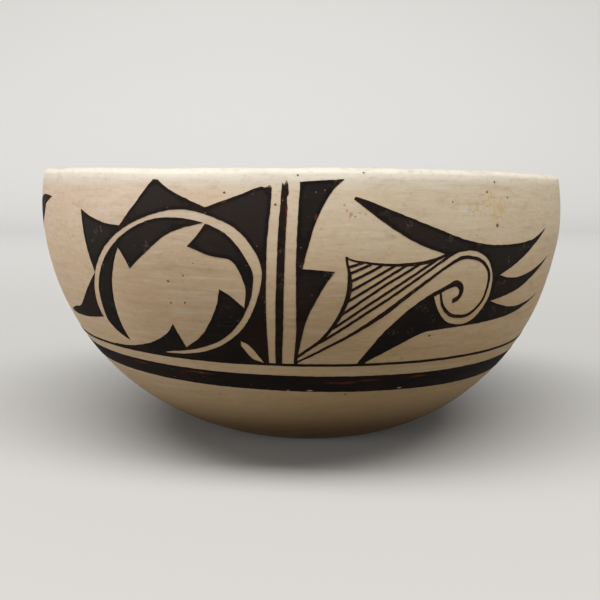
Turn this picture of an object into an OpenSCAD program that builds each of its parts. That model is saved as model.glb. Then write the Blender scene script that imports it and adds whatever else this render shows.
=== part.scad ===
// Hand-built pottery bowl: a moulded base, a coil-built wall, a cream slip inside and out,
// and one painted panel that repeats round the outside above a framing line and a wide band.
// Millimetres, +Z up, origin at the middle of the foot on the table.
// Azimuth runs from the front (-Y) towards the right (+X).

/* [Bowl] */
// Width across the belly
belly_d = 230; // [200:1:260]
// Height from the table to the top of the lip
bowl_h = 118; // [112:0.5:130]
// Height of the widest place
belly_z = 99.5; // [90:0.5:106]
// Width of the flat that the bowl rests on
foot_d = 67; // [50:1:90]

/* [Wall] */
// Thickness of the clay wall
clay_t = 6; // [4.5:0.1:8]
// Thickness of the clay under the middle of the bowl
floor_t = 7; // [5:0.1:12]
// How much the lip's crown radius exceeds a half round
lip_ease = 0.2; // [0.1:0.05:1]
// Thickness of the slip coats
slip_t = 0.4; // [0.3:0.05:0.8]
// Height at which the outside slip is worn away above the foot
slip_foot = 1; // [0.5:0.1:4]

/* [Coils] */
// Number of coil courses between the base and the rim
coil_count = 5; // [3:1:7]
// Height of the moulded base, at the outside
base_rise = 22; // [16:0.5:30]
// Height of the rim coil, at the outside
rim_coil_h = 14; // [10:0.5:18]
// How far a course laps down behind the one below it
scarf = 5; // [2:0.1:8]

/* [Bands] */
// Thickness of the paint
paint_t = 0.2; // [0.1:0.02:0.4]
// Clearance between the paint and the slip under it
paint_gap = 0.02; // [0.01:0.01:0.05]
// Height of the framing line's lower edge, at the front
line_z = 48; // [46:0.5:56]
// Width of the framing line
line_w = 1; // [0.6:0.1:2]
// Slope of the framing line, lower on the right, in degrees
line_tilt = 1; // [0:0.1:1.5]
// Height of the wide band's upper edge, at the front
band_top_z = 43.7; // [41:0.1:44]
// Slope of the band's upper edge, in degrees
band_top_tilt = 1.5; // [1:0.1:2]
// Height of the wide band's lower edge, at the front
band_foot_z = 36.7; // [30:0.1:38]
// Slope of the band's lower edge, in degrees
band_foot_tilt = 2; // [1:0.1:2.5]

/* [Panels] */
// Drawn width of one panel, stretched to its share of the wall
panel_run = 241; // [235:1:300]
// Drawn height of one panel, stretched to the wall above the framing line
panel_rise = 66; // [62:1:80]
// Width of the right panel, as a share of the others'
right_share = 0.86; // [0.8:0.02:1]
// Width of the left panel's wing, along the belly
left_wing = 84.65; // [73:0.05:120]
// Bare wall between the top of the panel and the lip
panel_margin = 4; // [3:0.5:12]
// Brush width of the hatching
hatch_w = 0.95; // [0.5:0.05:1.2]
// Brush width of the wing's upper line
wing_top_w = 1; // [0.6:0.1:1.5]
// Brush width of the wing's left line
wing_edge_w = 1.3; // [0.8:0.1:1.8]
// Brush width of the scroll line
scroll_w = 1.3; // [0.8:0.1:1.8]

/* [Hidden] */
$fa = 2;
$fs = 0.5;
clay_colour = "#b5906c";
slip_colour = "#d8c6a8";
paint_colour = "#2b241f";

// The panels, in turn from the front to the right
PANELS = ["front", "right", "left"];
MOTIFS = [
  "ring_feathers",
  "ring_blades",
  "divider_bar",
  "lightning",
  "hatched_wing",
  "scroll_line",
  "wing_feathers"
];

// The side is one arc from the edge of the foot through the belly to the lip
belly_r = belly_d / 2;
foot_r = foot_d / 2;
side_in = belly_r - foot_r;
side_arc = (side_in * side_in + belly_z * belly_z) / (2 * side_in);
arc_x = belly_r - side_arc;
clay_arc = side_arc - slip_t;
cavity_arc = clay_arc - clay_t;
inside_arc = cavity_arc - slip_t;

// The floor is never lower than the inside arc at the bowl's middle
function arc_floor(arc) = belly_z - sqrt(arc * arc - arc_x * arc_x);
floor_z = max(floor_t, arc_floor(cavity_arc));

// The lip is crowned about a point in the middle of the wall
wall_t = clay_t + 2 * slip_t;
lip_r = wall_t / 2 + lip_ease;
lip_z = bowl_h - lip_r;
lip_x = arc_x + sqrt(pow(side_arc - wall_t / 2, 2) - pow(lip_z - belly_z, 2));

// Room left round the parts that a cut passes
pad = 10;
reach = belly_d;

// The courses are parted by cuts at equal steps along the wall, each lower on the inside
base_angle = asin((base_rise - belly_z) / side_arc);
rim_angle = asin((bowl_h - rim_coil_h - belly_z) / side_arc);
course_angle = (rim_angle - base_angle) / coil_count;
scarf_angle = scarf / cavity_arc * 180 / PI;

function arc_point(r, angle) = [arc_x + r * cos(angle), belly_z + r * sin(angle)];
function cut_outside(i) = arc_point(side_arc + pad, base_angle + i * course_angle);
function cut_inside(i) = arc_point(inside_arc - pad, base_angle + i * course_angle - scarf_angle);

// Places on the wall: a panel's points are mm along the belly and mm above the framing line
panel_turn = 360 / len(PANELS);
panel_stretch = (bowl_h - panel_margin - line_z) / panel_rise;

function wall_r(z) = arc_x + sqrt(side_arc * side_arc - pow(z - belly_z, 2));
function line_at(azimuth) = line_z - wall_r(line_z) * tan(line_tilt) * sin(azimuth);

// The right panel is painted narrower, and so is the left panel's wing
function panel_share(panel) = panel == "right" ? right_share : 1;
function along_belly(run) = run * panel_turn / panel_run * PI / 180 * belly_r;
function wing_share(panel) = panel == "left" ? left_wing / along_belly(wing_reach) : 1;

// Azimuth of a panel's middle: the narrower right one still ends where a full one would
function middle_of(panel) =
  panel == "front" ? 0 :
  panel == "left" ? 2 * panel_turn :
  panel_turn + (1 - right_share) * wing_reach * panel_turn / panel_run;

// A panel's point, seen square on from the azimuth where its piece faces
function on_wall(p, panel, facing, share) =
  let (
    run = (p.x > 0 ? p.x * share : p.x) * panel_share(panel),
    azimuth = run * panel_turn / panel_run,
    z = line_at(azimuth + middle_of(panel)) + p.y * panel_stretch
  )
  [wall_r(z) * sin(azimuth - facing), z];

// The ring side and the wing side of a panel each face their own way
ring_facing = -30;
wing_facing = 28;

// Curves through a few points
curve_steps = 5;

function curve(a, b, c, d, t) =
  (2 * b + (c - a) * t + (2 * a - 5 * b + 4 * c - d) * t * t + (3 * b - a - 3 * c + d) * t * t * t) / 2;

// One brush stroke from its first point up to, but without, its last
function stroke(p) =
  let (last = len(p) - 1)
  last == 1 ? [p[0]] :
  [
    for (i = [0 : last - 1])
      let (before = i == 0 ? 2 * p[0] - p[1] : p[i - 1])
      let (after = i + 1 == last ? 2 * p[last] - p[i] : p[i + 2])
      for (k = [0 : curve_steps - 1])
        curve(before, p[i], p[i + 1], after, k / curve_steps)
  ];

// A closed outline of strokes: each stroke ends where the next one starts
function outline(strokes) =
  let (count = len(strokes))
  [for (i = [0 : count - 1]) each stroke(concat(strokes[i], [strokes[(i + 1) % count][0]]))];

// A closed smooth curve through points
function closed_curve(p) =
  let (count = len(p))
  [
    for (i = [0 : count - 1])
      for (k = [0 : curve_steps - 1])
        curve(p[(i + count - 1) % count], p[i], p[(i + 1) % count], p[(i + 2) % count], k / curve_steps)
  ];

// The two edges of a line painted with a brush of width w, pressed as each point's third number says
function brush_line(points, w) =
  let (
    c = concat(stroke(points), [points[len(points) - 1]]),
    last = len(c) - 1,
    along = [for (i = [0 : last]) c[min(i + 1, last)] - c[max(i - 1, 0)]],
    side = [for (i = [0 : last]) [-along[i].y, along[i].x] / norm([along[i].x, along[i].y]) * w * c[i].z / 2]
  )
  concat(
    [for (i = [0 : last]) [c[i].x, c[i].y] + side[i]],
    [for (i = [last : -1 : 0]) [c[i].x, c[i].y] - side[i]]
  );

// The ring, its pointed field, the leaf left bare in it, and the bare star inside the ring
ring_outside = [
  [-91, 14], [-86, 30.5], [-73, 44], [-56, 52.5], [-40, 55.5], [-24, 51], [-16.5, 44],
  [-13.3, 36], [-14.8, 27.5], [-19.1, 18.5], [-24.7, 12.1], [-32, 7.2], [-39.8, 4.2], [-47.7, 2.5],
  [-53, 1.9], [-60, 1.7], [-80, 2.5]
];
ring_inside = [
  [-88, 15], [-84.5, 28], [-73, 41.5], [-56, 51], [-40, 52.5], [-25.5, 48], [-17, 36.5],
  [-17, 29], [-19.2, 22.5], [-24.3, 15.2], [-31.4, 9.4], [-39.1, 6.2], [-47.1, 4], [-55.4, 2.7],
  [-64, 1.7], [-78.5, 4.5], [-86.5, 9.5]
];
feather_field = [
  [[-90, 12.5], [-104, 10.7], [-117, 10]],
  [[-124.8, 10.4]],
  [[-124.2, 11.6], [-115, 13.6], [-110.6, 14.2], [-105.4, 16.1], [-96.6, 22]],
  [[-86, 30.5], [-88.5, 41]],
  [[-90, 54], [-84, 51.5], [-76, 49.5]],
  [[-68, 49], [-60, 57.5]],
  [[-52.6, 65.7]],
  [[-51.2, 65.9], [-45.5, 62]],
  [[-32.5, 56.5], [-26.5, 58.7], [-20, 61], [-15.5, 62.9], [-12.9, 63.7], [-11.4, 63.5]],
  [[-9.8, 64.4]],
  [[-9.2, 63.2], [-9.6, 57.5], [-10.6, 49.5], [-11.6, 37.5]],
  [[-14, 0]],
  [[-60, 0]],
  [[-60, 3]],
  [[-70, 20]]
];
bare_leaf = [
  [[-24, 9.5], [-20.5, 7.5]],
  [[-16, 1], [-20.5, 2.5]],
  [[-24, 7.5]]
];
bare_star = [
  [[-78.5, 4.5], [-79.5, 12], [-77.5, 25], [-73.5, 35]],
  [[-70, 41], [-67.5, 37.5]],
  [[-65.5, 33.5], [-57, 40], [-46, 47.5]],
  [[-32, 51.5], [-36, 46.5]],
  [[-39.5, 43], [-31, 40], [-23.5, 38.5], [-19.5, 30]],
  [[-20.5, 22], [-25, 26]],
  [[-29, 28.5], [-31.8, 20.7], [-36.9, 13.3], [-41.5, 9.1]],
  [[-48.2, 4.9], [-50, 10.5]],
  [[-51, 14], [-56, 9.5], [-66, 5], [-80, 2]],
  [[-97, 1]]
];
blade_foot = [[-60.1, 0], [-60.1, 1.7], [-64, 1.8], [-65, 5], [-78.5, 3.5], [-97, 0.9], [-97, 0]];

// The uprights in the middle of the panel
bar_outline = [
  [[-11.4, 0], [-9.4, 20], [-7.4, 46]],
  [[-5.7, 65.2]],
  [[-5.1, 64.6]],
  [[-4.1, 66.2]],
  [[-3.6, 64], [-3.6, 61.7], [-4.2, 60], [-4, 57], [-4.7, 47], [-6.7, 18]],
  [[-8.8, 0]]
];
lightning_outline = [
  [[0, 65.5], [7, 66]],
  [[15, 66.4], [10, 61.5], [5, 52], [2, 42]],
  [[0.5, 36.5]],
  [[11.5, 35.7], [7, 29], [2, 19.5], [-1, 10]],
  [[-3.2, 0]],
  [[-4.5, 0], [-2.5, 14.5], [-2, 30], [-1.5, 42]]
];

// The wing: its lines, the scroll and the solid feathers
wing_edge = [
  [15.4, 40.8, 0.5], [16.3, 36, 0.8], [16.8, 32, 1.25], [16.3, 27, 1.3], [13.7, 20.2, 1.1],
  [10.2, 14.7, 0.95], [6.5, 10.4, 0.95], [2.6, 7.5, 0.85], [-3.4, 3.2, 0.75]
];
wing_top = [
  [15.4, 40.8, 0.6], [17, 39.8, 0.65], [22, 38.8, 0.75], [32, 37.8, 1],
  [42, 38.2, 1.3], [48.3, 39.4, 1.2], [53.5, 41.3, 1]
];
hatching = [
  [[16.2, 37.2, 1], [21.3, 38.8, 1]],
  [[16.5, 34.9, 1], [24.1, 38.2, 1]],
  [[16.9, 32.1, 1], [28.1, 37.8, 1]],
  [[16.8, 28.7, 1], [24, 32.7, 1], [33, 37.6, 1]],
  [[16, 25, 1], [27.7, 32, 1], [37.4, 37.7, 1]],
  [[14, 20.1, 1], [27.8, 29.5, 1], [42.3, 38, 1]],
  [[10.9, 15, 1], [28, 26.4, 1], [49, 39.4, 1]],
  [[4.8, 8.8, 0.4], [10.2, 12.1, 1], [28.3, 23.9, 1], [53.5, 40.3, 1]]
];
scroll = [
  [-3.4, 1.3, 0.5], [7, 6.7, 0.7], [18.6, 12.9, 0.85], [29.9, 20.2, 1.25], [36.3, 25.1, 1.1],
  [46.9, 32.5, 0.9], [52.8, 36.3, 0.8], [58, 39.2, 1], [62, 40.1, 1], [67.8, 39.2, 0.95],
  [72, 36.7, 0.9], [74.6, 33, 0.95], [74.8, 28, 0.9], [73.5, 23, 0.8], [69.5, 19, 0.85],
  [65, 17.6, 1], [58.5, 18.6, 1], [54, 22.5, 0.85], [52, 27.5, 0.7]
];
long_edge = [[18, 60], [20, 60.5], [34, 55.5], [50, 50], [63, 46], [78.5, 44.2]];
slim_feather = [
  concat(long_edge, [[99, 45.5]]),
  [[112, 50], [104, 44.5], [93, 38]]
];
full_feather = [
  concat(long_edge, [[107, 47], [131, 54], [147, 57.2], [161, 58.2]]),
  [[176.5, 57.6], [167, 55.6], [161, 54.2], [156.5, 51.2], [149, 47.8], [129, 42.5], [106, 38.5]]
];
lower_feathers = [
  [[81, 32.5], [87, 31.2], [96, 31.1], [108, 33.5]],
  [[121, 37.7], [109.5, 31.5], [98, 26.5], [88, 24]],
  [[78.5, 22.5], [86, 20.3], [97, 18.5], [109, 19.2]],
  [[120.5, 21.2], [108, 17.6], [97, 15.4], [76.5, 14], [55.5, 13.2], [46.5, 11.9], [35, 6.6]],
  [[22.6, 0]],
  [
    [20.8, 0], [23.1, 3.1], [26.2, 7.4], [29.6, 11.9], [33.1, 15.5], [40.2, 21.9], [48, 27], [54, 29.7],
    [58.5, 31.7], [61.5, 30.3], [62.5, 27.5], [61, 24.2]
  ],
  [[58.3, 23]],
  [[58, 24.8], [60.2, 25.8], [60.5, 27.6], [58.7, 29.2], [55.5, 28.6]],
  [
    [49.5, 26], [52.3, 20.8], [57.5, 16], [65.5, 14.4], [72, 16.7], [76.6, 23],
    [77.3, 28], [76.6, 33], [73, 38.7], [69.2, 41.1], [64.9, 42.3], [60.5, 42.2], [57, 41.4]
  ],
  [[51.2, 38.2]],
  [[53.4, 41.2], [42, 44.8], [30.5, 51]]
];
wing_reach = max([for (edge = lower_feathers) for (p = edge) p.x]);
function wing_outline(panel) = concat(panel == "left" ? full_feather : slim_feather, lower_feathers);

// The half profile inside the side arc of radius arc, from height low upwards
module inside_of(arc, low) {
  intersection() {
    translate([arc_x, belly_z])
      circle(arc);
    translate([0, low])
      square([reach, reach]);
  }
}

// All that lies below a lip of crown radius r
module below_lip(r) {
  translate([0, -pad])
    square([reach, lip_z + pad]);
  translate([lip_x, lip_z])
    circle(r);
}

// The clay's solid profile, flat underneath as far as the edge of the foot
module clay_profile() {
  intersection() {
    union() {
      inside_of(clay_arc, 0);
      square([max(arc_x, foot_r / 2), belly_z]);
    }
    below_lip(lip_r - slip_t);
  }
}

module cavity_profile() {
  inside_of(cavity_arc, floor_z);
}

module clay_wall() {
  difference() {
    clay_profile();
    cavity_profile();
  }
}

// The part of the clay wall inside a cut of its profile
module course(cut) {
  color(clay_colour)
    rotate_extrude()
      intersection() {
        clay_wall();
        polygon(cut);
      }
}

module moulded_base() {
  inner = cut_inside(0);
  outer = cut_outside(0);
  course([inner, outer, [outer.x, -pad], [0, -pad], [0, inner.y]]);
}

module wall_coil(k) {
  course([cut_inside(k - 1), cut_outside(k - 1), cut_outside(k), cut_inside(k)]);
}

module rim_coil() {
  inner = cut_inside(coil_count);
  outer = cut_outside(coil_count);
  course([inner, outer, [outer.x, bowl_h + pad], [inner.x, bowl_h + pad]]);
}

module outside_slip() {
  color(slip_colour)
    rotate_extrude()
      difference() {
        intersection() {
          inside_of(side_arc, slip_foot);
          below_lip(lip_r);
        }
        clay_profile();
        cavity_profile();
      }
}

module inside_slip() {
  color(slip_colour)
    rotate_extrude()
      intersection() {
        difference() {
          cavity_profile();
          inside_of(inside_arc, floor_z + slip_t);
        }
        below_lip(lip_r);
      }
}

// The thin skin on the outside slip that the brush can reach
module paint_skin() {
  rotate_extrude()
    difference() {
      intersection() {
        inside_of(side_arc + paint_gap + paint_t, slip_foot);
        square([reach, lip_z]);
      }
      inside_of(side_arc + paint_gap, 0);
    }
}

// All that lies above a plane at height z on the axis, sloping down to the right
module above(z, tilt) {
  rotate([0, tilt, 0])
    translate([-reach, -reach, z])
      cube(2 * reach);
}

module framing_line() {
  color(paint_colour)
    difference() {
      intersection() {
        paint_skin();
        above(line_z, line_tilt);
      }
      above(line_z + line_w, line_tilt);
    }
}

module wide_band() {
  color(paint_colour)
    difference() {
      intersection() {
        paint_skin();
        above(band_foot_z, band_foot_tilt);
      }
      above(band_top_z, band_top_tilt);
    }
}

// A flat shape laid on the wall, above the framing line, in a panel
module painted(panel, facing) {
  color(paint_colour)
    intersection() {
      rotate([0, 0, middle_of(panel)])
        intersection() {
          paint_skin();
          rotate([90, 0, facing])
            linear_extrude(reach)
              children();
        }
      above(line_z + line_w, line_tilt);
    }
}

// A filled shape through a panel's points
module shape(points, panel, facing, share = 1) {
  polygon([for (p = points) on_wall(p, panel, facing, share)]);
}

module ring_feathers(panel) {
  painted(panel, ring_facing)
    difference() {
      shape(outline(feather_field), panel, ring_facing);
      shape(closed_curve(ring_outside), panel, ring_facing);
      shape(outline(bare_leaf), panel, ring_facing);
    }
}

module ring_blades(panel) {
  painted(panel, ring_facing)
    difference() {
      union() {
        shape(closed_curve(ring_inside), panel, ring_facing);
        shape(blade_foot, panel, ring_facing);
      }
      shape(outline(bare_star), panel, ring_facing);
    }
}

module divider_bar(panel) {
  painted(panel, ring_facing)
    shape(outline(bar_outline), panel, ring_facing);
}

module lightning_shape(panel) {
  shape(outline(lightning_outline), panel, wing_facing);
}

module lightning(panel) {
  painted(panel, wing_facing)
    lightning_shape(panel);
}

module wing_shape(points, panel) {
  shape(points, panel, wing_facing, wing_share(panel));
}

module scroll_shape(panel) {
  difference() {
    wing_shape(brush_line(scroll, scroll_w), panel);
    lightning_shape(panel);
  }
}

module hatched_wing(panel) {
  painted(panel, wing_facing)
    difference() {
      union() {
        wing_shape(brush_line(wing_edge, wing_edge_w), panel);
        wing_shape(brush_line(wing_top, wing_top_w), panel);
        for (line = hatching)
          wing_shape(brush_line(line, hatch_w), panel);
      }
      scroll_shape(panel);
      lightning_shape(panel);
      wing_shape(outline(wing_outline(panel)), panel);
    }
}

module scroll_line(panel) {
  painted(panel, wing_facing)
    difference() {
      scroll_shape(panel);
      wing_shape(outline(wing_outline(panel)), panel);
    }
}

module wing_feathers(panel) {
  painted(panel, wing_facing)
    wing_shape(outline(wing_outline(panel)), panel);
}

moulded_base();
for (k = [1 : coil_count]) {
  wall_coil(k);
}
rim_coil();
outside_slip();
inside_slip();
framing_line();
wide_band();
for (panel = PANELS) {
  ring_feathers(panel);
  ring_blades(panel);
  divider_bar(panel);
  lightning(panel);
  hatched_wing(panel);
  scroll_line(panel);
  wing_feathers(panel);
}
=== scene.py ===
import math

import bmesh
import bpy
import numpy as np
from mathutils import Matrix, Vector, noise
from mathutils.geometry import delaunay_2d_cdt


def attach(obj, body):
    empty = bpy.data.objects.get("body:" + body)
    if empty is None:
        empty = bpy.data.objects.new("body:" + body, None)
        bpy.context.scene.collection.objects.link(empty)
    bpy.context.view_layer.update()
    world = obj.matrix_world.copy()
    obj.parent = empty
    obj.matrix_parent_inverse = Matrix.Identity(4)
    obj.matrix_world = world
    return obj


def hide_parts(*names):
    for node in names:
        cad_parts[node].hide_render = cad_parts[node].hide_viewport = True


bl_info = {
    "name": "Painted Pottery Bowl",
    "version": (1, 0, 0),
    "blender": (4, 5, 0),
    "location": "3D View > Sidebar > Bowl",
    "description": "Dresses a coil-built bowl with clay, slip and brush paint, on a studio stage",
    "category": "Object",
}

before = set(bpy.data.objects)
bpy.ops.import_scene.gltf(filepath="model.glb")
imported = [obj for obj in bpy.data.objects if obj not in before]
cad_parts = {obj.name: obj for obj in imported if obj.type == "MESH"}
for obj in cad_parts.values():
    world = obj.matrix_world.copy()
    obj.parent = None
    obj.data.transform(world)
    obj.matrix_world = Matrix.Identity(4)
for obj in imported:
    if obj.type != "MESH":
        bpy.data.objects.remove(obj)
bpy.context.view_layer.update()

MM = 0.001
PANELS = ("front", "right", "left")
MOTIFS = (
    "ring_feathers",
    "ring_blades",
    "divider_bar",
    "lightning",
    "hatched_wing",
    "scroll_line",
    "wing_feathers",
)

# How finely the pieces are meshed
WELD = 0.002 * MM
SHARP_EDGE = math.radians(40)
SLIP_SEGMENTS = 288
SLIP_STEP = 2.4 * MM
UNDER_STEP = 3 * SLIP_STEP
LIP_STEPS = 14
UNDER_LIP_STEPS = 9
INNER_LIP_STEPS = 3
FLOOR_STEPS = 14
BAND_SEGMENTS = 720
LINE_ROWS = 3
BAND_ROWS = 7
OUTLINE_STEP = 1.0 * MM
FILL_STEP = 2.6 * MM
# Corners nearer than this, in millimetres, count as one when an outline is filled
FILL_WELD = 1e-4

# The outer face of a CAD paint solid lies higher than this above the slip
OUTER_FACE = 0.12 * MM
# A stroke that ends this near to the framing line stands on it
FOOT_REACH = 0.35 * MM
# How many times as high the framing line's film is, because it goes over the feet of the strokes
LINE_LIFT = 1.4

# Lengths of the waves in the form and along the brush strokes
SWELL_WAVE = 60 * MM
DIMPLE_WAVE = 17 * MM
RIM_WAVE = 26 * MM
NICK_WAVE = 7 * MM
STROKE_WAVE = 9 * MM
BRISTLE_WAVE = 1.7 * MM
BAND_WAVE = 16 * MM
BAND_BRISTLE_WAVE = 2.4 * MM

# Azimuths in degrees at which a change of form begins, is full, begins to fade and ends
SWELL_SPAN = (35, 70, 85, 130)
DIP_SPAN = (12, 75, 118, 178)
# Shares of the bowl's height at which a change of form begins and is full
SWELL_RISE = (0.62, 0.85)
DIP_RISE = (0.51, 1.0)
RIM_WAVE_RISE = (0.8, 1.0)
NICK_RISE = (0.93, 1.0)
# Distances from the axis and from the table at which the wall's unevenness begins and is full
UNEVEN_REACH = (20 * MM, 60 * MM)
UNEVEN_HEIGHT = (2 * MM, 25 * MM)
# The scraped hollows are wider than tall
DIMPLE_SHAPE = (1, 1, 1.6)

# Axes of a place on the bowl
RIGHT, BACK, UP = range(3)
# Numbers of a Mix node's sockets for colours
MIX_FACTOR, MIX_FIRST, MIX_SECOND = 0, 6, 7
MIX_RESULT = 2

# Heights in millimetres at which a look of the slip or the paint begins and is full
WORKED_LEVELS = (12, 40)
STRAW_LEVELS = (112, 60)
# The lip's painted highlight
LIP_HIGHLIGHT_LEVELS = (109, 117)
FLECKED_LEVELS = (80, 112)
HONEY_LEVELS = (42, 32)
# Painted shade: the slip darkens to brown towards the foot
FOOT_SHADE_LEVELS = (33, 10)
# Paint lightens towards the rim: painted sheen
PAINT_SHEEN_LEVELS = (50, 112)
SCRATCHED_LEVELS = (46, 75)
CLAY_RUB_LEVELS = (1.2, 0)
# Places to the right of the middle, in millimetres, at which the slip begins to be rosy and is fully so
ROSY_PLACES = (70, -90)

# Marks on the slip: azimuth in degrees, height and radius in millimetres
PITS = (
    (38.1, 98.3, 0.95), (35.5, 110.4, 0.6), (41.0, 108.4, 0.7), (37.6, 113.9, 0.6), (32.9, 94.8, 0.4),
    (-12.7, 109.8, 0.6), (-24.3, 78.7, 0.7), (-4.0, 105.9, 0.6), (9.3, 34.7, 0.7), (25.4, 58.1, 0.7),
    (-18.8, 85.6, 0.4), (-21.1, 81.2, 0.4), (-24.6, 70.9, 0.5), (-21.6, 71.3, 0.5), (-21.0, 33.7, 0.4),
    (-0.3, 115.6, 0.5), (10.8, 116.4, 0.5), (27.4, 106.8, 0.4),
)
RED_SPECKS = (
    (7.4, 105.7, 0.6), (7.8, 103.9, 0.6), (8.5, 102.7, 0.9), (8.3, 101.8, 0.5), (9.2, 101.9, 0.6),
    (10.0, 103.1, 0.5), (11.0, 102.7, 0.5), (20.4, 49.7, 0.7), (18.5, 51.2, 0.4), (-31.5, 25.7, 0.6),
)
YELLOW_STAINS = ((35.6, 107.5, 6.0), (38.2, 104.0, 6.0), (33.1, 103.4, 5.0))
FIRE_CLOUDS = ((-24.0, 78.0, 40.0), (5.0, 66.0, 22.0))

# Marks in the paint, which also have how many times taller than wide they are
RED_PAINT = (
    (-2.0, 103.0, 1.1, 4.0), (-2.2, 97.5, 1.1, 4.5), (-2.45, 91.5, 1.0, 4.0), (8.0, 40.5, 8.0, 0.15),
    (14.0, 41.0, 6.0, 0.15), (26.1, 41.0, 5.0, 0.16), (-24.0, 43.0, 9.0, 0.12), (-40.2, 43.7, 6.0, 0.14),
    (-12.9, 107.1, 1.6, 0.5), (8.6, 75.6, 0.8, 3.0), (16.4, 48.5, 2.0, 0.4), (2.65, 102.0, 0.7, 3.0),
)
THICK_PAINT = ((4.5, 103.0, 16.0, 1.6),)
CHIPS = ((1.0, 37.1, 1.6, 0.3), (22.3, 36.3, 1.3, 0.4), (-3.9, 37.2, 0.8, 0.4))
DRY_ENDS = (
    (-25.9, 114.8, 1.7, 0.8), (-5.0, 112.6, 1.9, 0.7), (-2.4, 114.0, 1.7, 1.2), (5.9, 114.3, 1.6, 0.4),
)
# The inner share of a mark that has its full strength
MARK_CORE = 0.35

# Soft boxes: name, place, width and height in metres, and the setting that holds the power
SOFT_BOXES = (
    ("key_box", (-0.1, -0.9, 2.35), (4.0, 1.0), "key_power"),
    ("front_fill", (-0.2, -1.3, 0.42), (1.6, 0.3), "front_power"),
    ("left_fill", (-1.25, -0.6, 0.15), (0.8, 0.25), "left_power"),
    ("right_fill", (1.25, -0.6, 0.18), (0.8, 0.25), "right_power"),
)
LIGHT_AIM = (0.0, 0.0, 0.06)

# The floor's sweep in metres, from its front edge through the bend to the backdrop's top
FLOOR_FRONT = -2.5
FLOOR_LEVEL_END = 1.0
FLOOR_BEND = 1.2
BEND_RADIUS = 0.8
BEND_STEPS = 13
BACKDROP_TOP = 3.0
FLOOR_HALF = 3.0


def length(name, description, mm):
    """A size that a user can change, given in millimetres."""
    return bpy.props.FloatProperty(
        name=name, description=description, default=mm * MM, min=0.0, unit="LENGTH", precision=5
    )


def angle(name, description, degrees):
    """An angle that a user can change, given in degrees."""
    return bpy.props.FloatProperty(
        name=name, description=description, default=math.radians(degrees), subtype="ANGLE"
    )


def tint(name, description, red, green, blue):
    """A colour that a user can change, given as it looks on a screen, from 0 to 255."""
    linear = [((c / 255 + 0.055) / 1.055) ** 2.4 for c in (red, green, blue)]
    return bpy.props.FloatVectorProperty(
        name=name, description=description, default=linear, subtype="COLOR", size=3, min=0.0, max=1.0
    )


def share(name, description, value):
    """A plain number from 0 to 1 that a user can change."""
    return bpy.props.FloatProperty(
        name=name, description=description, default=value, min=0.0, max=1.0, subtype="FACTOR"
    )


def watts(name, description, power):
    """The power of a lamp, which a user can change."""
    return bpy.props.FloatProperty(
        name=name, description=description, default=power, min=0.0, subtype="POWER"
    )


class BowlForm(bpy.types.PropertyGroup):
    """Sizes of the bowl, and how far the hand left it from true."""

    belly_width: length("Belly width", "Width across the belly", 230)
    bowl_height: length("Height", "Height from the table to the lip", 118)
    belly_height: length("Belly height", "Height of the widest place", 99.5)
    foot_width: length("Foot width", "Width of the flat that the bowl rests on", 67)
    clay_wall: length("Clay wall", "Thickness of the clay wall", 6)
    slip_coat: length("Slip coat", "Thickness of each coat of slip", 0.4)
    floor: length("Floor", "Thickness of the clay under the middle of the bowl", 7)
    lip_ease: length("Lip ease", "How much the lip's crown radius exceeds a half round", 0.2)
    foot_wear: length("Foot wear", "Height up to which the slip is worn off the foot", 1)
    lean: length("Lean", "How far the foot stands to the right of the rim", 4.2)
    rim_left: length("Rim to the left", "How far the rim sits to the left of the middle", 1.2)
    rim_dip: length("Rim dip", "How far the rim drops on the right", 3.2)
    rim_wave: length("Rim wave", "Height of the slow waves along the rim", 0.5)
    rim_nick: length("Rim nick", "Height of the short uneven places along the rim", 0.2)
    right_swell: length("Right swell", "How far the wall swells out under the rim on the right", 0.9)
    swell: length("Swell", "Depth of the broad unevenness of the wall", 0.5)
    dimple: length("Dimple", "Depth of the small scraped hollows of the wall", 0.12)


class BowlBrush(bpy.types.PropertyGroup):
    """Places of the bands and the hand of the brush."""

    line_height: length("Line height", "Height of the framing line's lower edge, at the front", 48)
    line_width: length("Line width", "Width of the framing line", 1)
    line_slope: angle("Line slope", "Slope of the framing line, lower on the right", 1)
    band_top: length("Band top", "Height of the wide band's upper edge, at the front", 43.7)
    band_top_slope: angle("Band top slope", "Slope of the band's upper edge", 1.5)
    band_foot: length("Band foot", "Height of the wide band's lower edge, at the front", 36.7)
    band_foot_slope: angle("Band foot slope", "Slope of the band's lower edge", 2)
    film: length("Film", "How far the paint stands above the slip", 0.1)
    bed: length("Bed", "How far the paint reaches down into the slip", 0.1)
    wobble: length("Wobble", "How far the brush strays along a stroke", 0.1)
    ragged: length("Ragged edge", "Depth of the bristle marks along an edge", 0.13)


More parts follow.
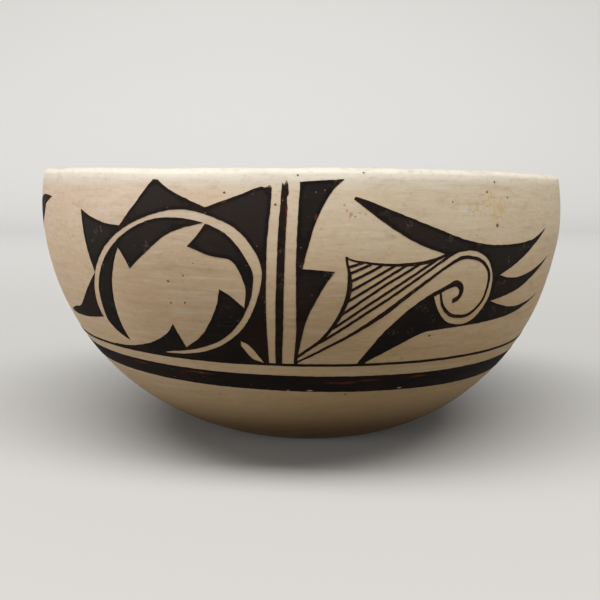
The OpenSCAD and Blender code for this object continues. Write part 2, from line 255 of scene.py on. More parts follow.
class BowlFinish(bpy.types.PropertyGroup):
    """Colours of the clay, the slip and the paint."""

    cream: tint("Cream slip", "The slip where it is clean and polished", 190, 174, 147)
    rosy: tint("Rosy slip", "The slip where the fire left it pinker", 192, 168, 147)
    # Lower on the wall this yellower, darker tone is partly painted shade, partly the slip's own
    # yellowing
    straw: tint("Straw slip", "The slip where the fire left it yellower", 178, 149, 109)
    # Besides the pale polishing streaks, this colour paints the highlight along the lip
    pale: tint("Pale slip", "The slip where the polishing stone left it lighter", 201, 196, 184)
    stain: tint("Stain", "Handling stains", 132, 108, 78)
    # Under the band this darker tone is partly painted shade, partly the slip's own yellowing
    honey: tint("Honey slip", "The slip under the band, yellowed in the fire", 150, 118, 68)
    # Painted shade near the foot, not a colour of the slip
    foot_shade: tint("Smoky slip", "The slip near the foot, browned in the fire", 84, 58, 28)
    pit: tint("Pit", "The dark of a pit", 84, 63, 40)
    amber: tint("Amber stain", "Yellow crackle round the pits", 180, 152, 92)
    speck: tint("Red speck", "Specks of red earth in the slip", 160, 84, 66)
    clay: tint("Fired clay", "The bare clay at the worn foot", 168, 124, 88)
    grit: tint("Grit", "Dark grit in the clay", 96, 66, 46)
    black: tint("Black paint", "The paint where it is thick", 12, 8, 6)
    # Painted sheen: paint lighter towards the rim where the light from above catches it, besides rubbed
    # wear
    sheen_and_wear: tint("Rubbed paint", "The paint near the rim, where hands have rubbed it", 38, 33, 30)
    brown: tint("Brown paint", "The paint where the brush ran dry", 46, 28, 19)
    red: tint("Red paint", "Thin paint that fired red", 88, 40, 26)
    polish: share("Polish", "How smooth the stone-polished slip is", 0.5)


class BowlStage(bpy.types.PropertyGroup):
    """The camera, the floor and the lights."""

    camera_distance: length("Camera distance", "From the bowl's axis to the camera", 397)
    camera_height: length("Camera height", "Height of the camera above the table", 118)
    camera_dip: angle("Camera dip", "How far the camera looks down", 8.83)
    lens: bpy.props.FloatProperty(
        name="Lens", description="Focal length in millimetres", default=51.0, min=1.0
    )
    camera_shift: bpy.props.FloatProperty(
        name="Camera shift", description="Sideways shift of the frame", default=-0.0055
    )
    floor_tint: tint("Floor", "The pale floor", 178, 176, 172)
    backdrop_tint: tint("Backdrop", "The pale backdrop behind the floor", 230, 228, 224)
    bounce_tint: tint("Floor bounce", "What the floor throws back onto the bowl", 26, 22, 18)
    key_power: watts("Key light", "The long soft box above", 116)
    front_power: watts("Front fill", "The low soft box in front", 3.4)
    left_power: watts("Left fill", "The soft box on the left", 9.6)
    right_power: watts("Right fill", "The soft box on the right", 5.6)
    sky: bpy.props.FloatProperty(
        name="Sky", description="Strength of the even light all round", default=0.14, min=0.0
    )


def smooth(low, high, x):
    """A soft step from 0 at low to 1 at high."""
    t = np.clip((x - low) / (high - low), 0.0, 1.0)
    return t * t * (3.0 - 2.0 * t)


def span(stops, x):
    """0 up to the first stop, 1 between the two middle ones and 0 after the last."""
    begin, full, fade, end = stops
    return smooth(begin, full, x) - smooth(fade, end, x)


def waves(points, size, offset=0.0):
    """Soft unevenness at points, from about -1 to 1, in waves about size long that an offset shifts."""
    scaled = points / size + offset
    return np.array([noise.noise(Vector(p)) for p in scaled])


class Wall:
    """The bowl's side: one arc from the foot through the belly to the lip, bent as the hand left it."""

    def __init__(self, form):
        self.form = form
        belly = form.belly_width / 2
        inset = belly - form.foot_width / 2
        self.belly = belly
        self.belly_z = form.belly_height
        self.height = form.bowl_height
        self.arc = (inset ** 2 + self.belly_z ** 2) / (2 * inset)
        self.arc_x = belly - self.arc
        self.clay_arc = self.arc - form.slip_coat
        self.cavity_arc = self.clay_arc - form.clay_wall
        self.inside_arc = self.cavity_arc - form.slip_coat
        thickness = form.clay_wall + 2 * form.slip_coat
        self.lip_r = thickness / 2 + form.lip_ease
        self.lip_z = self.height - self.lip_r
        self.mid_arc = self.arc - thickness / 2
        self.lip_x = self.arc_x + math.sqrt(self.mid_arc ** 2 - (self.lip_z - self.belly_z) ** 2)

    def side(self, arc, low, high, step):
        """Points up an arc about the side's centre, from one height to another."""
        start = math.asin((low - self.belly_z) / arc)
        end = math.asin((high - self.belly_z) / arc)
        count = max(2, round(abs(end - start) * arc / step) + 1)
        turn = np.linspace(start, end, count)
        return np.column_stack((self.arc_x + arc * np.cos(turn), self.belly_z + arc * np.sin(turn)))

    def crown_turn(self, crown, arc):
        """Where a crown about the lip's centre meets an arc of the side, as a turn from outwards."""
        reach = (arc ** 2 - self.mid_arc ** 2 - crown ** 2) / (2 * self.mid_arc * crown)
        return math.acos(max(-1.0, min(1.0, reach)))

    def crown(self, crown, arc_from, arc_to, count):
        """Points over the lip from one arc of the side to another."""
        tilt = math.asin((self.lip_z - self.belly_z) / self.mid_arc)
        start, end = self.crown_turn(crown, arc_from), self.crown_turn(crown, arc_to)
        turn = np.linspace(start, end, count) + tilt
        return np.column_stack((self.lip_x + crown * np.cos(turn), self.lip_z + crown * np.sin(turn)))

    def lip_top(self, crown, arc):
        """Height at which a crown about the lip's centre meets an arc of the side."""
        return self.crown(crown, arc, arc, 1)[0, 1]

    def on_side(self, azimuth, rise, out):
        """Points on the outside: azimuth, arc length above the belly, and height above the slip."""
        turn = rise / self.arc
        arc = self.arc + out
        r = self.arc_x + arc * np.cos(turn)
        z = self.belly_z + arc * np.sin(turn)
        return np.column_stack((r * np.sin(azimuth), -r * np.cos(azimuth), z))

    def rise(self, z):
        """Arc length above the belly at a height."""
        return self.arc * np.arcsin((z - self.belly_z) / self.arc)

    def mark(self, azimuth, height):
        """The place of a mark on the uneven bowl, from degrees and millimetres."""
        rise = self.rise(np.array([height * MM]))
        return self.by_hand(self.on_side(np.radians([azimuth]), rise, 0.0))[0]

    def unroll(self, points):
        """Azimuth, arc length above the belly and height above the slip of points."""
        r = np.hypot(points[:, 0], points[:, 1])
        across, up = r - self.arc_x, points[:, 2] - self.belly_z
        azimuth = np.arctan2(points[:, 0], -points[:, 1])
        return azimuth, np.arctan2(up, across) * self.arc, np.hypot(across, up) - self.arc

    def by_hand(self, points):
        """The places that true points have on the uneven bowl."""
        form = self.form
        x, y, z = points.T
        r = np.hypot(x, y)
        azimuth = np.degrees(np.arctan2(x, -y))
        level = z / self.height
        swell = form.swell * waves(points, SWELL_WAVE)
        swell += form.dimple * waves(points * DIMPLE_SHAPE, DIMPLE_WAVE, offset=7.3)
        swell *= smooth(*UNEVEN_REACH, r) * smooth(*UNEVEN_HEIGHT, z)
        swell += form.right_swell * span(SWELL_SPAN, azimuth) * smooth(*SWELL_RISE, level)
        grow = 1 + swell / np.maximum(r, 1 * MM)
        dip = form.rim_dip * span(DIP_SPAN, azimuth) * smooth(*DIP_RISE, level)
        around = points * (1, 1, 0)
        ripple = form.rim_wave * waves(around, RIM_WAVE, offset=3.1) * smooth(*RIM_WAVE_RISE, level)
        ripple += form.rim_nick * waves(around, NICK_WAVE, offset=9.7) * smooth(*NICK_RISE, level)
        lean = form.lean * (1 - level) ** 2 - form.rim_left
        return np.column_stack((x * grow + lean, y * grow, z - dip + ripple))


def add_piece(name, points, faces, finish, node):
    """A finished piece that rides on the bowl and stands for a CAD node."""
    mesh = bpy.data.meshes.new(name)
    mesh.from_pydata([tuple(p) for p in points], [], faces)
    mesh.validate()
    mesh.shade_smooth()
    mesh.set_sharp_from_angle(angle=SHARP_EDGE)
    mesh.materials.append(finish)
    piece = bpy.data.objects.new(name, mesh)
    bpy.context.scene.collection.objects.link(piece)
    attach(piece, "root")
    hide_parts(node)
    return piece


def welded(node):
    """A CAD solid whose faces share their corners."""
    solid = bmesh.new()
    solid.from_mesh(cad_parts[node].data)
    bmesh.ops.remove_doubles(solid, verts=solid.verts, dist=WELD)
    return solid


def turned(profile, segments):
    """A closed profile turned round the axis, as points and faces. A point on the axis becomes a pole."""
    points, rings = [], []
    azimuth = np.linspace(0, 2 * math.pi, segments, endpoint=False)
    for r, z in profile:
        start = len(points)
        if r < WELD:
            points.append((0.0, 0.0, z))
            rings.append([start] * segments)
        else:
            points.extend(zip(r * np.sin(azimuth), -r * np.cos(azimuth), [z] * segments))
            rings.append(range(start, start + segments))
    faces = []
    for low, high in zip(rings, rings[1:] + rings[:1]):
        for i in range(segments):
            j = (i + 1) % segments
            corners = list(dict.fromkeys((low[i], low[j], high[j], high[i])))
            if len(corners) > 2:
                faces.append(corners)
    return np.array(points), faces


def inside_outline(points, edges):
    """Which points lie inside an outline given as pairs of end points."""
    x, y = points[:, :1], points[:, 1:]
    (ax, ay), (bx, by) = edges[:, 0].T, edges[:, 1].T
    spans = (ay > y) != (by > y)
    rise = np.where(by == ay, 1.0, by - ay)
    crossing = ax + (y - ay) * (bx - ax) / rise
    return (np.sum(spans & (x < crossing), axis=1) % 2).astype(bool)


def distance_to_outline(points, edges):
    """How far points lie from the nearest place on an outline."""
    start, along = edges[:, 0], edges[:, 1] - edges[:, 0]
    size = np.maximum(np.sum(along ** 2, axis=1), 1e-18)
    nearest = np.empty(len(points))
    for i, p in enumerate(points):
        t = np.clip(np.sum((p - start) * along, axis=1) / size, 0, 1)
        nearest[i] = np.min(np.hypot(*(p - start - along * t[:, None]).T))
    return nearest


def painted_outline(node, wall):
    """The outline of a CAD paint solid's outer face, unrolled, and the azimuth in its middle."""
    solid = welded(node)
    co = np.array([v.co for v in solid.verts])
    middle = co.mean(axis=0)
    facing = math.atan2(middle[0], -middle[1])
    azimuth, rise, out = wall.unroll(co)
    azimuth = (azimuth - facing + math.pi) % (2 * math.pi) - math.pi
    flat = np.column_stack((azimuth * wall.belly, rise))
    outer = {f for f in solid.faces if all(out[v.index] > OUTER_FACE for v in f.verts)}
    edges = [
        [flat[v.index] for v in e.verts]
        for e in solid.edges
        if sum(f in outer for f in e.link_faces) == 1
    ]
    solid.free()
    return np.array(edges), facing


def cut_short(edges, step):
    """The same outline in pieces no longer than step."""
    short = []
    for start, end in edges:
        count = max(1, math.ceil(np.hypot(*(end - start)) / step))
        stops = start + np.linspace(0, 1, count + 1)[:, None] * (end - start)
        short.extend(zip(stops[:-1], stops[1:]))
    return np.array(short)


def filled(edges, spacing):
    """Points and triangles that fill an outline, on a grid of even triangles inside it."""
    low, high = edges.reshape(-1, 2).min(axis=0), edges.reshape(-1, 2).max(axis=0)
    columns = np.arange(low[0], high[0], spacing)
    rows = np.arange(low[1], high[1], spacing * 0.87)
    grid = np.array([(x + spacing * 0.5 * (j % 2), y) for j, y in enumerate(rows) for x in columns])
    grid = grid[inside_outline(grid, edges)]
    if len(grid):
        grid = grid[distance_to_outline(grid, edges) > spacing * 0.35]
    corners = [Vector(p) for p in edges.reshape(-1, 2) / MM]
    loose = [Vector(p) for p in grid / MM]
    pairs = [(2 * i, 2 * i + 1) for i in range(len(edges))]
    points, _, triangles, *_ = delaunay_2d_cdt(corners + loose, pairs, [], 0, FILL_WELD)
    points = np.array([tuple(p) for p in points]) * MM
    triangles = np.array(triangles)
    kept = inside_outline(points[triangles].mean(axis=1), edges)
    return points, triangles[kept]


def film_faces(triangles, count):
    """Faces of a thin film: its top, its underside and the edge between them."""
    faces = [tuple(t) for t in triangles] + [tuple(t[::-1] + count) for t in triangles]
    used = {}
    for t in triangles:
        for a, b in zip(t, np.roll(t, -1)):
            used[(a, b)] = used.get((a, b), 0) + 1
    for a, b in used:
        if (b, a) not in used:
            faces.append((b, a, a + count, b + count))
    return faces


def brush_stray(flat, facing, brush):
    """How far the brush strays at places of an unrolled painting."""
    seed = 10 * facing
    place = np.column_stack((flat, np.full(len(flat), seed * MM)))
    stray = np.zeros_like(flat)
    for axis in (0, 1):
        stray[:, axis] += brush.wobble * waves(place, STROKE_WAVE, offset=5.0 * axis + seed)
        stray[:, axis] += brush.ragged * waves(place, BRISTLE_WAVE, offset=2.0 + 5.0 * axis + seed)
    return stray


def sloped(height, slope, azimuth, wall):
    """Arc length above the belly of a level drawn round the bowl that drops to the right."""
    z = np.full_like(azimuth, height)
    # The drop depends on the radius, which depends on the height, so a few rounds settle both
    for _ in range(4):
        r = wall.arc_x + np.sqrt(wall.arc ** 2 - (z - wall.belly_z) ** 2)
        z = height - r * math.tan(slope) * np.sin(azimuth)
    return wall.rise(z)


def stood_on_line(flat, azimuth, wall, brush):
    """Lets the strokes that stand on the framing line run half way under it."""
    top = sloped(brush.line_height + brush.line_width, brush.line_slope, azimuth, wall)
    foot = flat[:, 1] < top + FOOT_REACH
    return np.column_stack((flat[:, 0], flat[:, 1] - foot * brush.line_width / 2))


def lay_film(node, wall, bed, finish, azimuth, rise, film, triangles, depth):
    """A film of paint on the uneven wall. It keeps how deep each point lies inside its stroke."""
    top = wall.by_hand(wall.on_side(azimuth, rise, film))
    under = wall.by_hand(wall.on_side(azimuth, rise, -bed))
    faces = film_faces(triangles, len(top))
    piece = add_piece("paint_" + node, np.concatenate((top, under)), faces, finish, node)
    layer = piece.data.attributes.new("stroke_depth", "FLOAT", "POINT")
    layer.data.foreach_set("value", np.tile(depth, 2).astype(np.float32))


def paint_motif(node, wall, brush, finish):
    """One painted motif as a thin film on the uneven wall."""
    edges, facing = painted_outline(node, wall)
    edges = cut_short(edges, OUTLINE_STEP)
    flat, triangles = filled(edges, FILL_STEP)
    depth = distance_to_outline(flat, edges) / MM
    flat = stood_on_line(flat, facing + flat[:, 0] / wall.belly, wall, brush)
    flat = flat + brush_stray(flat, facing, brush)
    azimuth = facing + flat[:, 0] / wall.belly
    lay_film(node, wall, brush.bed, finish, azimuth, flat[:, 1], brush.film, triangles, depth)


def paint_band(node, wall, brush, finish, low, high, rows, film):
    """A band painted right round the bowl between two sloping edges."""
    around = np.linspace(0, 2 * math.pi, BAND_SEGMENTS, endpoint=False)
    foot, top = (sloped(*edge, around, wall) for edge in (low, high))
    up = np.repeat(np.linspace(0, 1, rows), BAND_SEGMENTS)
    azimuth = np.tile(around, rows)
    rise = np.tile(foot, rows) + np.tile(top - foot, rows) * up
    depth = np.minimum(up, 1 - up) * float(np.mean(top - foot)) / MM
    ring = wall.on_side(azimuth, rise, 0.0)
    rise = rise + brush.wobble * waves(ring, BAND_WAVE, offset=1.7)
    rise = rise + brush.ragged * waves(ring, BAND_BRISTLE_WAVE, offset=4.4)
    triangles = []
    for row in range(rows - 1):
        for i in range(BAND_SEGMENTS):
            a = row * BAND_SEGMENTS + i
            b = row * BAND_SEGMENTS + (i + 1) % BAND_SEGMENTS
            triangles.append((a, b, b + BAND_SEGMENTS))
            triangles.append((a, b + BAND_SEGMENTS, a + BAND_SEGMENTS))
    lay_film(node, wall, brush.bed, finish, azimuth, rise, film, np.array(triangles), depth)


class Wire:
    """A value that runs through a finish. Sums and products on it add Math nodes."""

    def __init__(self, finish, socket):
        self.finish = finish
        self.socket = socket

    def __add__(self, other):
        return self.finish.math("ADD", self, other)

    def __sub__(self, other):
        return self.finish.math("SUBTRACT", self, other)

    def __rsub__(self, other):
        return self.finish.math("SUBTRACT", other, self)

    def __mul__(self, other):
        return self.finish.math("MULTIPLY", self, other)

    __radd__ = __add__
    __rmul__ = __mul__


class Finish:
    """A material built from nodes that are given by type, settings and sockets."""

    def __init__(self, name):
        self.material = bpy.data.materials.new(name)
        self.material.use_nodes = True
        self.tree = self.material.node_tree
        self.shader = self.tree.nodes["Principled BSDF"]
        self.place = self.node("ShaderNodeTexCoord", output="Object")

    def join(self, socket, value):
        """Links a wire to a socket, or sets the socket's own value."""
        if isinstance(value, Wire):
            self.tree.links.new(value.socket, socket)
        elif socket.type == "RGBA":
            socket.default_value = (*value, 1.0)
        else:
            socket.default_value = value

    def node(self, kind, settings=None, sockets=None, output=0):
        """Adds a node and gives the wire from one of its outputs."""
        node = self.tree.nodes.new(kind)
        for key, value in (settings or {}).items():
            setattr(node, key, value)
        for key, value in (sockets or {}).items():
            self.join(node.inputs[key], value)
        return Wire(self, node.outputs[output])

    def math(self, operation, *values):
        """Adds a Math node."""
        return self.node("ShaderNodeMath", {"operation": operation}, dict(enumerate(values)))

    def mix(self, factor, first, second):
        """One colour over another."""
        settings = {"data_type": "RGBA", "clamp_factor": True}
        sockets = {MIX_FACTOR: factor, MIX_FIRST: first, MIX_SECOND: second}
        return self.node("ShaderNodeMix", settings, sockets, MIX_RESULT)

    def vector(self, operation, *values, output=0):
        """Adds a Vector Math node."""
        settings = {"operation": operation}
        return self.node("ShaderNodeVectorMath", settings, dict(enumerate(values)), output)

    def cloud(self, per_metre, detail, roughness):
        """Soft noise from 0 to 1, with so many waves to the metre along each axis."""
        place = self.vector("MULTIPLY", self.place, per_metre)
        sockets = {"Vector": place, "Scale": 1.0, "Detail": detail, "Roughness": roughness}
        return self.node("ShaderNodeTexNoise", None, sockets)

    def step(self, value, low, high):
        """A soft step from 0 at low to 1 at high."""
        settings = {"interpolation_type": "SMOOTHSTEP"}
        sockets = {"Value": value, "From Min": low, "From Max": high}
        return self.node("ShaderNodeMapRange", settings, sockets)

    def near(self, point, radius, tall=1.0):
        """1 at a point on the bowl, down to 0 at a radius from it."""
        away = self.vector("SUBTRACT", self.place, point)
        away = self.vector("MULTIPLY", away, (1, 1, 1 / tall))
        away = self.vector("LENGTH", away, output="Value")
        return 1 - self.step(away, radius * MARK_CORE, radius)

    def marks(self, wall, places):
        """1 on every mark of a list, 0 elsewhere."""
        total = 0.0
        for azimuth, height, radius, *tall in places:
            spot = self.near(wall.mark(azimuth, height), radius * MM, *tall)
            total = self.math("MAXIMUM", spot, total)
        return total

    def along(self, axis):
        """The place along one axis."""
        return self.node("ShaderNodeSeparateXYZ", None, {0: self.place}, axis)

    def level(self, begin, full):
        """A soft step from 0 at one height to 1 at another, in millimetres."""
        return self.step(self.along(UP), begin * MM, full * MM)

    def bump(self, height, depth):
        """A normal that follows small heights, given as a share of depth."""
        sockets = {"Strength": 1.0, "Distance": depth, "Height": height}
        return self.node("ShaderNodeBump", None, sockets)

    def wear(self, colour, roughness, normal):
        """Puts what changes over the surface on the shader."""
        for key, value in (("Base Color", colour), ("Roughness", roughness), ("Normal", normal)):
            self.join(self.shader.inputs[key], value)
        return self.material


def made_once(make, name, *given):
    """A finish by name, made the first time that it is asked for."""
    return bpy.data.materials.get(name) or make(name, *given)


def fired_colour(f, look, outside):
    """The slip's colour: rosy on the left as the fire left it, straw and darker lower down, partly
    painted shade, and a painted highlight at the lip.
    """
    blotch = f.step(f.cloud((16, 16, 22), 3, 0.55), 0.38, 0.66)
    cloudy = f.step(f.cloud((34, 34, 60), 2, 0.5), 0.4, 0.7)
    left = f.step(f.along(RIGHT), *(place * MM for place in ROSY_PLACES))
    colour = f.mix(left * 0.7 + blotch * 0.3, look.cream, look.rosy)
    # Yellower and darker lower down: partly painted shade, partly the slip's own yellowing
    straw = f.level(*STRAW_LEVELS) * (0.9 - left * 0.35) + cloudy * 0.15
    colour = f.mix(straw, colour, look.straw)
    # Painted highlight: the slip turns near white at the lip
    colour = f.mix(f.level(*LIP_HIGHLIGHT_LEVELS) * 0.8, colour, look.pale)
    if outside:
        # Darker and yellower under the band: partly painted shade, partly the slip's own yellowing
        colour = f.mix(f.level(*HONEY_LEVELS) * 0.4, colour, look.honey)
        # Painted shade: the outside slip turns dark brown towards the foot
        colour = f.mix(f.level(*FOOT_SHADE_LEVELS) * 0.95, colour, look.foot_shade)
    return colour


def slip_finish(name, look, polish, wall, outside):
    """Cream slip, polished with a stone in level strokes that stop short of the floor."""
    f = Finish(name)
    f.shader.inputs["Specular IOR Level"].default_value = 0.15
    worked = f.level(*WORKED_LEVELS)
    strokes = 0.5 + worked * (f.cloud((42, 42, 480), 3, 0.6) - 0.5)
    fine = 0.5 + worked * (f.cloud((170, 170, 1500), 2, 0.5) - 0.5)
    grime = f.step(f.cloud((130, 130, 330), 4, 0.65), 0.5, 0.72)
    mottle = f.cloud((420, 420, 620), 3, 0.6)
    grit = f.step(f.cloud((900, 900, 900), 1, 0.5), 0.7, 0.8)
    colour = fired_colour(f, look, outside)

    # Strokes of the polishing stone and stains from handling
    dull = f.step(strokes, 0.5, 0.8) * 0.25 + f.marks(wall, FIRE_CLOUDS) * 0.28
    colour = f.mix(dull, colour, look.stain)
    flecks = f.step(fine, 0.5, 0.75) * (0.12 + f.level(*FLECKED_LEVELS) * 0.15)
    colour = f.mix(flecks + f.step(strokes, 0.5, 0.25) * 0.2, colour, look.pale)
    colour = f.mix(f.step(mottle, 0.52, 0.75) * 0.2 + grime * 0.2, colour, look.stain)

    # Yellow crackle, red specks and pits
    crackle = f.math("ABSOLUTE", f.cloud((420, 420, 420), 2, 0.5) - 0.5)
    amber = f.marks(wall, YELLOW_STAINS) * f.step(crackle, 0.06, 0.015)
    red = f.marks(wall, RED_SPECKS) * f.step(mottle, 0.3, 0.5)
    pits = f.marks(wall, PITS) * f.step(mottle, 0.3, 0.5)
    colour = f.mix(amber * 0.7, colour, look.amber)
    colour = f.mix(red * 0.6, colour, look.speck)
    colour = f.mix(f.math("MAXIMUM", pits * 0.9, grit * 0.25), colour, look.pit)

    rough = 0.66 - polish * 0.3 + (strokes - 0.5) * 0.2 + pits * 0.2
    relief = strokes * 0.5 + fine * 0.3 + mottle * 0.3 - amber * 0.6 - pits * 3.0
    return f.wear(colour, rough, f.bump(relief, 0.08 * MM))


def paint_finish(name, look, wall):
    """Black-brown brush paint, thin and brown where the brush ran dry."""
    f = Finish(name)
    f.shader.inputs["Specular IOR Level"].default_value = 0.06
    depth = f.node("ShaderNodeAttribute", {"attribute_name": "stroke_depth"}, None, "Fac")
    edge = 1 - f.step(depth, 0.0, 0.4)
    outline = f.step(depth, 1.8, 0.7)
    drag = f.cloud((80, 80, 700), 3, 0.6)
    streak = f.step(f.cloud((130, 130, 1500), 2, 0.5), 0.5, 0.75)
    blot = f.step(f.cloud((60, 60, 60), 2, 0.5), 0.5, 0.72)
    hair = f.math("ABSOLUTE", f.cloud((700, 700, 900), 1, 0.5) - 0.5)
    sparse = f.step(f.cloud((190, 190, 190), 1, 0.5), 0.62, 0.7)
    scratch = f.step(hair, 0.03, 0.01) * sparse * f.level(*SCRATCHED_LEVELS)
    nick = f.step(f.cloud((800, 800, 800), 1, 0.5), 0.74, 0.8)
    bristle = f.step(f.cloud((1700, 1700, 420), 2, 0.5), 0.44, 0.56)

    # Black outlines, a filling that is lighter towards the rim from painted sheen and from wear, and
    # brown where the paint is thin
    sheen_and_wear = f.level(*PAINT_SHEEN_LEVELS) * (1 - outline * 0.7) + streak * 0.3
    sheen_and_wear = sheen_and_wear * (1 - f.marks(wall, THICK_PAINT) * 0.45)
    colour = f.mix(sheen_and_wear, look.black, look.sheen_and_wear)
    colour = f.mix(f.step(drag, 0.5, 0.8) * 0.35 + blot * 0.25, colour, look.brown)
    colour = f.mix(edge * 0.3, colour, look.brown)

    # Places that fired red, dry ends, chips, scratches and nicks
    colour = f.mix(f.marks(wall, RED_PAINT) * f.step(drag, 0.35, 0.6) * 0.8, colour, look.red)
    bare = f.math("MAXIMUM", f.marks(wall, CHIPS), f.marks(wall, DRY_ENDS) * bristle)
    colour = f.mix(bare * 0.8, colour, look.straw)
    colour = f.mix(f.math("MAXIMUM", scratch * 0.12, nick * 0.2), colour, look.cream)

    rough = 0.72 + (drag - 0.5) * 0.2
    return f.wear(colour, rough, f.bump(drag * 0.7 - scratch * 0.5, 0.04 * MM))


def clay_finish(name, look):
    """Bare fired clay with grit, scuffed where it rubs on the table."""
    f = Finish(name)
    cloud = f.cloud((60, 60, 60), 3, 0.6)
    grain = f.cloud((900, 900, 900), 2, 0.6)
    grit = f.step(f.cloud((420, 420, 420), 1, 0.5), 0.66, 0.74)
    rub = f.level(*CLAY_RUB_LEVELS)
    colour = f.mix(cloud, look.clay, look.straw)
    colour = f.mix(grit * 0.6, colour, look.grit)
    colour = f.mix(rub * grain * 0.35, colour, look.cream)
    return f.wear(colour, 0.75 + (grain - 0.5) * 0.2, f.bump(grain * 0.6 + grit * 0.4, 0.12 * MM))


def floor_finish(name, stage):
    """The pale floor and backdrop, which throw back less light onto the bowl than they show."""
    f = Finish(name)
    rays = ("Is Camera Ray", "Is Glossy Ray", "Is Transmission Ray")
    seen = sum(f.node("ShaderNodeLightPath", output=ray) for ray in rays)
    tone = f.cloud((3, 3, 3), 2, 0.5)
    behind = f.step(f.along(BACK), 0.0, FLOOR_BEND)
    colour = f.mix(behind, stage.floor_tint, stage.backdrop_tint)
    colour = f.mix(seen, stage.bounce_tint, colour)
    return f.wear(colour, 0.8 + tone * 0.1, f.bump(tone, 0.02 * MM))


def outside_coat(wall):
    """Profile of the slip up the outside, over the lip and back between the slip and the clay."""
    form = wall.form
    under = wall.lip_r - form.slip_coat
    top, under_top = wall.lip_top(wall.lip_r, wall.arc), wall.lip_top(under, wall.clay_arc)
    return np.concatenate((
        wall.side(wall.arc, form.foot_wear, top, SLIP_STEP),
        wall.crown(wall.lip_r, wall.arc, wall.cavity_arc, LIP_STEPS)[1:],
        wall.crown(under, wall.cavity_arc, wall.clay_arc, UNDER_LIP_STEPS),
        wall.side(wall.clay_arc, under_top, form.foot_wear, UNDER_STEP)[1:],
    ))


def inside_coat(wall):
    """Profile of the slip from the lip down to the floor and back between the slip and the clay."""
    form = wall.form
    floor = max(form.floor, wall.belly_z - math.sqrt(wall.cavity_arc ** 2 - wall.arc_x ** 2))
    pan = floor + form.slip_coat
    inner = wall.side(wall.inside_arc, wall.lip_top(wall.lip_r, wall.inside_arc), pan, SLIP_STEP)
    outer = wall.side(wall.cavity_arc, floor, wall.lip_top(wall.lip_r, wall.cavity_arc), UNDER_STEP)
    return np.concatenate((
        wall.crown(wall.lip_r, wall.cavity_arc, wall.inside_arc, INNER_LIP_STEPS),
        inner[1:],
        [(r, pan) for r in np.linspace(inner[-1, 0], 0, FLOOR_STEPS)[1:]],
        [(0.0, floor)],
        outer[:-1],
    ))


class BOWL_OT_clay_courses(bpy.types.Operator):
    """Lays the moulded base, the wall coils and the rim coil"""

    bl_idname = "bowl.clay_courses"
    bl_label = "Clay courses"

    def execute(self, context):
        wall = Wall(context.scene.bowl_form)
        finish = made_once(clay_finish, "fired_clay", context.scene.bowl_finish)
        coils = sorted(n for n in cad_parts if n.startswith("wall_coil_"))
        for node in ["moulded_base"] + coils + ["rim_coil"]:
            solid = welded(node)
            points = wall.by_hand(np.array([v.co for v in solid.verts]))
            faces = [[v.index for v in f.verts] for f in solid.faces]
            solid.free()
            add_piece("clay_" + node, points, faces, finish, node)
        return {"FINISHED"}


class BOWL_OT_slip_coats(bpy.types.Operator):
    """Coats the bowl with slip, outside over the lip and inside down to the floor"""

    bl_idname = "bowl.slip_coats"
    bl_label = "Slip coats"

    def execute(self, context):
        wall = Wall(context.scene.bowl_form)
        look = context.scene.bowl_finish
        polished = made_once(slip_finish, "polished_slip", look, look.polish, wall, True)
        washed = made_once(slip_finish, "inside_slip_wash", look, look.polish / 2, wall, False)
        for side, coat, finish in (("outside", outside_coat, polished), ("inside", inside_coat, washed)):
            points, faces = turned(coat(wall), SLIP_SEGMENTS)
            add_piece(f"slip_{side}_coat", wall.by_hand(points), faces, finish, f"{side}_slip")
        return {"FINISHED"}


class BOWL_OT_brush_bands(bpy.types.Operator):
    """Paints the framing line and the wide band round the bowl"""

    bl_idname = "bowl.brush_bands"
    bl_label = "Brush bands"

    def execute(self, context):
        brush = context.scene.bowl_brush
        wall = Wall(context.scene.bowl_form)
        finish = made_once(paint_finish, "brush_paint", context.scene.bowl_finish, wall)
        line_top = brush.line_height + brush.line_width
        line = ((brush.line_height, brush.line_slope), (line_top, brush.line_slope))
        band = ((brush.band_foot, brush.band_foot_slope), (brush.band_top, brush.band_top_slope))
        paint_band("framing_line", wall, brush, finish, *line, LINE_ROWS, brush.film * LINE_LIFT)
        paint_band("wide_band", wall, brush, finish, *band, BAND_ROWS, brush.film)
        return {"FINISHED"}


class BOWL_OT_painted_panels(bpy.types.Operator):
    """Paints the ring, the bar, the lightning and the wing of each panel"""

    bl_idname = "bowl.painted_panels"
    bl_label = "Painted panels"

    def execute(self, context):
        wall = Wall(context.scene.bowl_form)
        finish = made_once(paint_finish, "brush_paint", context.scene.bowl_finish, wall)
        for panel in PANELS:
            for motif in MOTIFS:
                paint_motif(f"{panel}_{motif}", wall, context.scene.bowl_brush, finish)
        return {"FINISHED"}


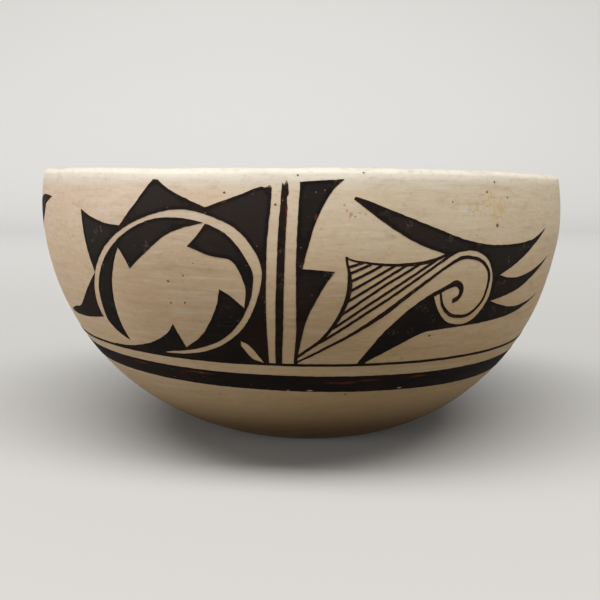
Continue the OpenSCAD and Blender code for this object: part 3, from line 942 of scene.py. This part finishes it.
class BOWL_OT_studio_stage(bpy.types.Operator):
    """Sets up the pale floor, the soft lights and the camera"""

    bl_idname = "bowl.studio_stage"
    bl_label = "Studio stage"

    def soft_box(self, name, place, size, power):
        """An oblong lamp that faces the bowl."""
        lamp = bpy.data.lights.new(name, "AREA")
        lamp.shape = "RECTANGLE"
        lamp.size, lamp.size_y = size
        lamp.energy = power
        box = bpy.data.objects.new(name, lamp)
        box.location = place
        box.rotation_euler = (Vector(LIGHT_AIM) - Vector(place)).to_track_quat("-Z", "Y").to_euler()
        bpy.context.scene.collection.objects.link(box)

    def sweep(self, stage):
        """A floor that curves up into a backdrop."""
        line = [(FLOOR_FRONT, 0.0), (FLOOR_LEVEL_END, 0.0)]
        for turn in np.linspace(-math.pi / 2, 0, BEND_STEPS):
            y = FLOOR_BEND + BEND_RADIUS * math.cos(turn)
            line.append((y, BEND_RADIUS + BEND_RADIUS * math.sin(turn)))
        line.append((FLOOR_BEND + BEND_RADIUS, BACKDROP_TOP))
        points = [(x, y, z) for y, z in line for x in (-FLOOR_HALF, FLOOR_HALF)]
        faces = [(i, i + 1, i + 3, i + 2) for i in range(0, len(points) - 2, 2)]
        mesh = bpy.data.meshes.new("floor_sweep")
        mesh.from_pydata(points, [], faces)
        mesh.shade_smooth()
        mesh.materials.append(made_once(floor_finish, "pale_floor", stage))
        floor = bpy.data.objects.new("floor_sweep", mesh)
        bpy.context.scene.collection.objects.link(floor)

    def even_sky(self, scene, stage):
        """Weak white light from all round."""
        world = bpy.data.worlds.new("even_sky")
        world.use_nodes = True
        background = world.node_tree.nodes["Background"]
        background.inputs["Color"].default_value = (1.0, 1.0, 1.0, 1.0)
        background.inputs["Strength"].default_value = stage.sky
        scene.world = world

    def camera(self, scene, stage):
        """The camera in front of the bowl, looking down a little."""
        lens = bpy.data.cameras.new("camera")
        lens.lens = stage.lens
        lens.sensor_width = 36.0
        lens.shift_x = stage.camera_shift
        lens.clip_start = 0.01
        camera = bpy.data.objects.new("camera", lens)
        camera.location = (0.0, -stage.camera_distance, stage.camera_height)
        camera.rotation_euler = (math.pi / 2 - stage.camera_dip, 0.0, 0.0)
        scene.collection.objects.link(camera)
        scene.camera = camera

    def execute(self, context):
        scene = context.scene
        stage = scene.bowl_stage
        self.sweep(stage)
        for name, place, size, power in SOFT_BOXES:
            self.soft_box(name, place, size, getattr(stage, power))
        self.even_sky(scene, stage)
        self.camera(scene, stage)
        scene.view_settings.view_transform = "Standard"
        return {"FINISHED"}


class BOWL_PT_sidebar(bpy.types.Panel):
    """Lists the bowl's pieces and sizes"""

    bl_idname = "BOWL_PT_sidebar"
    bl_label = "Painted bowl"
    bl_space_type = "VIEW_3D"
    bl_region_type = "UI"
    bl_category = "Bowl"

    def draw(self, context):
        for step in STEPS:
            self.layout.operator(step.bl_idname)
        for group in GROUPS:
            box = self.layout.box()
            settings = getattr(context.scene, group)
            for key in GROUPS[group].__annotations__:
                box.prop(settings, key)


STEPS = (
    BOWL_OT_clay_courses,
    BOWL_OT_slip_coats,
    BOWL_OT_brush_bands,
    BOWL_OT_painted_panels,
    BOWL_OT_studio_stage,
)
GROUPS = {
    "bowl_form": BowlForm,
    "bowl_brush": BowlBrush,
    "bowl_finish": BowlFinish,
    "bowl_stage": BowlStage,
}


def register():
    for group in GROUPS.values():
        bpy.utils.register_class(group)
    for step in STEPS:
        bpy.utils.register_class(step)
    bpy.utils.register_class(BOWL_PT_sidebar)
    for key, group in GROUPS.items():
        setattr(bpy.types.Scene, key, bpy.props.PointerProperty(type=group))


def unregister():
    for key in GROUPS:
        delattr(bpy.types.Scene, key)
    bpy.utils.unregister_class(BOWL_PT_sidebar)
    for step in reversed(STEPS):
        bpy.utils.unregister_class(step)
    for group in reversed(GROUPS.values()):
        bpy.utils.unregister_class(group)


def main():
    register()
    bpy.ops.bowl.clay_courses()
    bpy.ops.bowl.slip_coats()
    bpy.ops.bowl.brush_bands()
    bpy.ops.bowl.painted_panels()
    bpy.ops.bowl.studio_stage()


if __name__ == "__main__":
    main()
